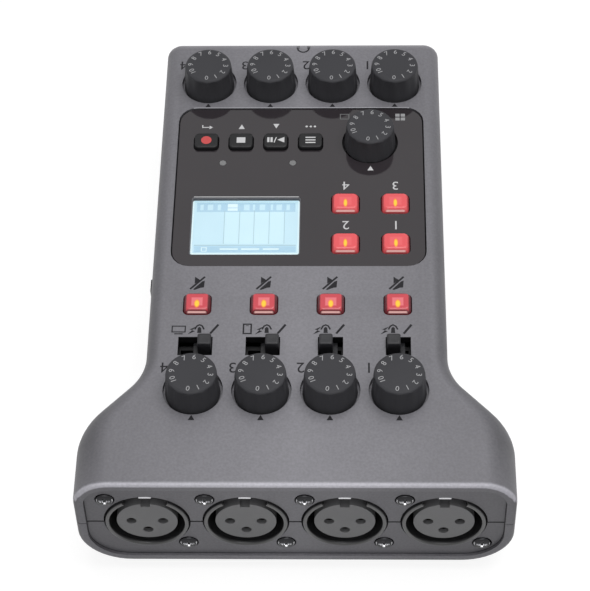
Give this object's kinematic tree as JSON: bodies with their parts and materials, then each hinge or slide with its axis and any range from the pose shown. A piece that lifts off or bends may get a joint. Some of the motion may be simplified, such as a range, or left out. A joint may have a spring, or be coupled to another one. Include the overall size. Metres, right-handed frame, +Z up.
{
  "type": "podcast recorder",
  "caption": "T-shaped desktop podcast recorder with microphone sockets at its wide end, numbered knobs, lit keys and a small display.",
  "frame": {"origin": "under the middle of the case, at the bottom of its feet", "axes": "+X to the picture's right, +Y from the microphone sockets to the phones end, +Z up"},
  "size_m": [0.111, 0.155, 0.047],
  "materials": {
    "shell": "metallic grey paint, satin",
    "panel": "dark grey gloss",
    "window": "clear",
    "display": "pale blue, lit",
    "lens": "frosted grey",
    "door": "satin grey",
    "rubber": "matt black",
    "black_screw": "black finish",
    "steel": "plain",
    "socket": "black",
    "core": "dark grey",
    "contact": "plated",
    "knob": "black, satin",
    "shaft": "plain",
    "pot": "plain",
    "switch": "black",
    "red_key": "translucent red rubber, lit",
    "black_key": "black rubber",
    "led": "yellow",
    "board": "green board",
    "jack": "black",
    "cell": "grey sleeve"
  },
  "bodies": {
    "case": {"top_shell": "shell", "bottom_shell": "shell", "control_panel": "panel", "display_window": "window", "lcd_module": "display", "indicator_lenses": "lens", "rubber_feet": "rubber", "case_screws": "black_screw", "board_screws": "steel", "xlr_sockets": "socket", "xlr_inserts": "core", "xlr_contacts": "contact", "xlr_latches": "steel", "xlr_screws": "black_screw", "pot_bodies": "pot", "slide_switch_bodies": "switch", "key_leds": "led", "control_board": "board", "main_board": "board", "mini_jacks": "jack", "usb_ports": "steel", "card_socket": "steel", "aa_cells": "cell", "battery_contacts": "steel"},
    "level_1": {"level_knob_1": "knob", "level_shaft_1": "shaft"},
    "level_2": {"level_knob_2": "knob", "level_shaft_2": "shaft"},
    "level_3": {"level_knob_3": "knob", "level_shaft_3": "shaft"},
    "level_4": {"level_knob_4": "knob", "level_shaft_4": "shaft"},
    "phones_1": {"phones_knob_1": "knob", "phones_shaft_1": "shaft"},
    "phones_2": {"phones_knob_2": "knob", "phones_shaft_2": "shaft"},
    "phones_3": {"phones_knob_3": "knob", "phones_shaft_3": "shaft"},
    "phones_4": {"phones_knob_4": "knob", "phones_shaft_4": "shaft"},
    "pad_level": {"pad_knob": "knob", "pad_shaft": "shaft"},
    "mic_select_1": {"mic_switch_1": "switch"},
    "mic_select_2": {"mic_switch_2": "switch"},
    "mic_select_3": {"mic_switch_3": "switch"},
    "mic_select_4": {"mic_switch_4": "switch"},
    "mute_1": {"mute_key_1": "red_key"},
    "mute_2": {"mute_key_2": "red_key"},
    "mute_3": {"mute_key_3": "red_key"},
    "mute_4": {"mute_key_4": "red_key"},
    "pad_1": {"sound_pad_1": "red_key"},
    "pad_2": {"sound_pad_2": "red_key"},
    "pad_3": {"sound_pad_3": "red_key"},
    "pad_4": {"sound_pad_4": "red_key"},
    "record": {"record_key": "black_key"},
    "stop": {"stop_key": "black_key"},
    "play": {"play_key": "black_key"},
    "menu": {"menu_key": "black_key"},
    "power": {"power_slider": "switch"},
    "door": {"battery_door": "door"}
  },
  "joints": [
    {"name": "level_1_turn", "type": "hinge", "parent": "case", "child": "level_1", "pos_m": [0.02625, -0.0485, 0.0395], "axis": [0, 0, -1], "range_deg": [0, 300]},
    {"name": "level_2_turn", "type": "hinge", "parent": "case", "child": "level_2", "pos_m": [0.00875, -0.0485, 0.0395], "axis": [0, 0, -1], "range_deg": [0, 300]},
    {"name": "level_3_turn", "type": "hinge", "parent": "case", "child": "level_3", "pos_m": [-0.00875, -0.0485, 0.0395], "axis": [0, 0, -1], "range_deg": [0, 300]},
    {"name": "level_4_turn", "type": "hinge", "parent": "case", "child": "level_4", "pos_m": [-0.02625, -0.0485, 0.0395], "axis": [0, 0, -1], "range_deg": [0, 300]},
    {"name": "phones_1_turn", "type": "hinge", "parent": "case", "child": "phones_1", "pos_m": [0.02625, 0.059, 0.0395], "axis": [0, 0, -1], "range_deg": [0, 300]},
    {"name": "phones_2_turn", "type": "hinge", "parent": "case", "child": "phones_2", "pos_m": [0.00875, 0.059, 0.0395], "axis": [0, 0, -1], "range_deg": [0, 300]},
    {"name": "phones_3_turn", "type": "hinge", "parent": "case", "child": "phones_3", "pos_m": [-0.00875, 0.059, 0.0395], "axis": [0, 0, -1], "range_deg": [0, 300]},
    {"name": "phones_4_turn", "type": "hinge", "parent": "case", "child": "phones_4", "pos_m": [-0.02625, 0.059, 0.0395], "axis": [0, 0, -1], "range_deg": [0, 300]},
    {"name": "pad_level_turn", "type": "hinge", "parent": "case", "child": "pad_level", "pos_m": [0.01925, 0.0367, 0.0395], "axis": [0, 0, -1], "range_deg": [0, 300]},
    {"name": "mic_select_1_slide", "type": "slide", "parent": "case", "child": "mic_select_1", "axis": [1, 0, 0], "range_m": [0, 0.0024]},
    {"name": "mic_select_2_slide", "type": "slide", "parent": "case", "child": "mic_select_2", "axis": [1, 0, 0], "range_m": [0, 0.0024]},
    {"name": "mic_select_3_slide", "type": "slide", "parent": "case", "child": "mic_select_3", "axis": [1, 0, 0], "range_m": [-0.0048, 0]},
    {"name": "mic_select_4_slide", "type": "slide", "parent": "case", "child": "mic_select_4", "axis": [1, 0, 0], "range_m": [-0.0048, 0]},
    {"name": "mute_1_press", "type": "slide", "parent": "case", "child": "mute_1", "axis": [0, 0, -1], "range_m": [0, 0.001], "stiffness_N_per_m": 300},
    {"name": "mute_2_press", "type": "slide", "parent": "case", "child": "mute_2", "axis": [0, 0, -1], "range_m": [0, 0.001], "stiffness_N_per_m": 300},
    {"name": "mute_3_press", "type": "slide", "parent": "case", "child": "mute_3", "axis": [0, 0, -1], "range_m": [0, 0.001], "stiffness_N_per_m": 300},
    {"name": "mute_4_press", "type": "slide", "parent": "case", "child": "mute_4", "axis": [0, 0, -1], "range_m": [0, 0.001], "stiffness_N_per_m": 300},
    {"name": "pad_1_press", "type": "slide", "parent": "case", "child": "pad_1", "axis": [0, 0, -1], "range_m": [0, 0.001], "stiffness_N_per_m": 300},
    {"name": "pad_2_press", "type": "slide", "parent": "case", "child": "pad_2", "axis": [0, 0, -1], "range_m": [0, 0.001], "stiffness_N_per_m": 300},
    {"name": "pad_3_press", "type": "slide", "parent": "case", "child": "pad_3", "axis": [0, 0, -1], "range_m": [0, 0.001], "stiffness_N_per_m": 300},
    {"name": "pad_4_press", "type": "slide", "parent": "case", "child": "pad_4", "axis": [0, 0, -1], "range_m": [0, 0.001], "stiffness_N_per_m": 300},
    {"name": "record_press", "type": "slide", "parent": "case", "child": "record", "axis": [0, 0, -1], "range_m": [0, 0.001], "stiffness_N_per_m": 300},
    {"name": "stop_press", "type": "slide", "parent": "case", "child": "stop", "axis": [0, 0, -1], "range_m": [0, 0.001], "stiffness_N_per_m": 300},
    {"name": "play_press", "type": "slide", "parent": "case", "child": "play", "axis": [0, 0, -1], "range_m": [0, 0.001], "stiffness_N_per_m": 300},
    {"name": "menu_press", "type": "slide", "parent": "case", "child": "menu", "axis": [0, 0, -1], "range_m": [0, 0.001], "stiffness_N_per_m": 300},
    {"name": "power_slide", "type": "slide", "parent": "case", "child": "power", "axis": [0, 1, 0], "range_m": [0, 0.004]},
    {"name": "door_lift_off", "type": "slide", "parent": "case", "child": "door", "axis": [0, 0, -1], "range_m": [0, 0.02]}
  ]
}
